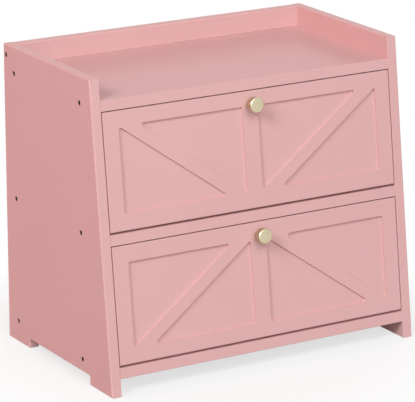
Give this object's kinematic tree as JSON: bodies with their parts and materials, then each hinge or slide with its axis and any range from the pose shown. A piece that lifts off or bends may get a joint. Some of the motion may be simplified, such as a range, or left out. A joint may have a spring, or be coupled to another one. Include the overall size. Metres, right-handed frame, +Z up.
{
  "type": "double-layer bread box",
  "caption": "Counter-top bread box in painted board with stacked compartments, leaning drop-front doors with round knobs and braced faces, and a low-walled tray on top.",
  "frame": {"origin": "on the table, under the middle of the box's outline", "axes": "+X to the right as seen from the front, +Y to the back, +Z up; the doors face -Y"},
  "size_m": [0.4, 0.245, 0.35],
  "materials": {
    "painted_board": "pink satin lacquer",
    "knob_metal": "brushed champagne gold",
    "bright_steel": "zinc plated",
    "dark_steel": "black oxide",
    "nylon": "moulded",
    "catch_plastic": "moulded",
    "magnet": "sintered"
  },
  "bodies": {
    "cabinet": {"left_side_panel": "painted_board", "right_side_panel": "painted_board", "top_board": "painted_board", "middle_shelf": "painted_board", "bottom_board": "painted_board", "back_rail": "painted_board", "back_panel": "painted_board", "left_panel_screws": "dark_steel", "right_panel_screws": "dark_steel", "lower_catch_magnets": "magnet", "lower_catch_pole_plates": "bright_steel", "lower_catch_screws": "bright_steel", "lower_left_pivot_bush": "nylon", "lower_left_catch_housing": "catch_plastic", "lower_right_pivot_bush": "nylon", "lower_right_catch_housing": "catch_plastic", "upper_catch_magnets": "magnet", "upper_catch_pole_plates": "bright_steel", "upper_catch_screws": "bright_steel", "upper_left_pivot_bush": "nylon", "upper_left_catch_housing": "catch_plastic", "upper_right_pivot_bush": "nylon", "upper_right_catch_housing": "catch_plastic"},
    "lower_door": {"lower_door_panel": "painted_board", "lower_door_knob": "knob_metal", "lower_knob_screw": "bright_steel", "lower_strike_screws": "bright_steel", "lower_left_pivot_pin": "bright_steel", "lower_left_strike_plate": "bright_steel", "lower_right_pivot_pin": "bright_steel", "lower_right_strike_plate": "bright_steel"},
    "upper_door": {"upper_door_panel": "painted_board", "upper_door_knob": "knob_metal", "upper_knob_screw": "bright_steel", "upper_strike_screws": "bright_steel", "upper_left_pivot_pin": "bright_steel", "upper_left_strike_plate": "bright_steel", "upper_right_pivot_pin": "bright_steel", "upper_right_strike_plate": "bright_steel"}
  },
  "joints": [
    {"name": "upper_door_hinge", "type": "hinge", "parent": "cabinet", "child": "upper_door", "pos_m": [0, -0.09337, 0.18579], "axis": [1, 0, 0], "range_deg": [0, 112]},
    {"name": "lower_door_hinge", "type": "hinge", "parent": "cabinet", "child": "lower_door", "pos_m": [0, -0.11227, 0.03879], "axis": [1, 0, 0], "range_deg": [0, 105]}
  ]
}
